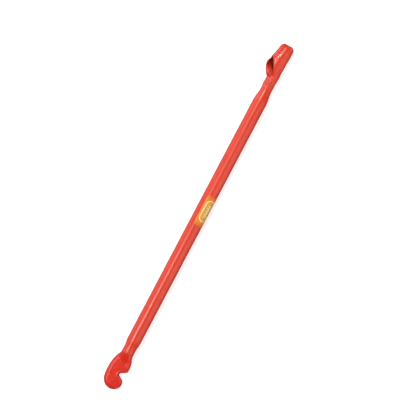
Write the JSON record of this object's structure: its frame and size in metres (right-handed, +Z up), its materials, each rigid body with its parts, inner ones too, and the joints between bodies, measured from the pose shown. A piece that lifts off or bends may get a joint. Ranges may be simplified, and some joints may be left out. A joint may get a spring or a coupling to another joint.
{
  "type": "hooked lever bar",
  "caption": "Red painted steel lever bar with a flat notched hook claw at one end, a hollow side-windowed socket head at the other and a printed label on the shaft.",
  "frame": {"origin": "on the shaft's axis at the middle of the bar's length", "axes": "+X along the bar from the hook claw to the socket head, +Z up with the bar lying on the claw's flat back, the claw's notch opens towards -Y and the head's window looks towards +Y and +Z"},
  "size_m": [0.7544, 0.0433, 0.0283],
  "materials": {
    "red_enamel": "glossy red-orange enamel over forged and drawn steel",
    "label_orange": "satin printed vinyl",
    "label_mustard": "satin print",
    "label_cream": "satin print"
  },
  "bodies": {
    "root": {"shaft_tube": "red_enamel", "hook_claw": "red_enamel", "hook_weld_bead": "red_enamel", "socket_sleeve": "red_enamel", "neck_core": "red_enamel", "socket_weld_bead": "red_enamel", "socket_seam_weld": "red_enamel", "label_film": "label_orange", "label_panel_print": "label_mustard", "label_frame_print": "label_cream", "label_marks_print": "label_cream"}
  },
  "joints": []
}
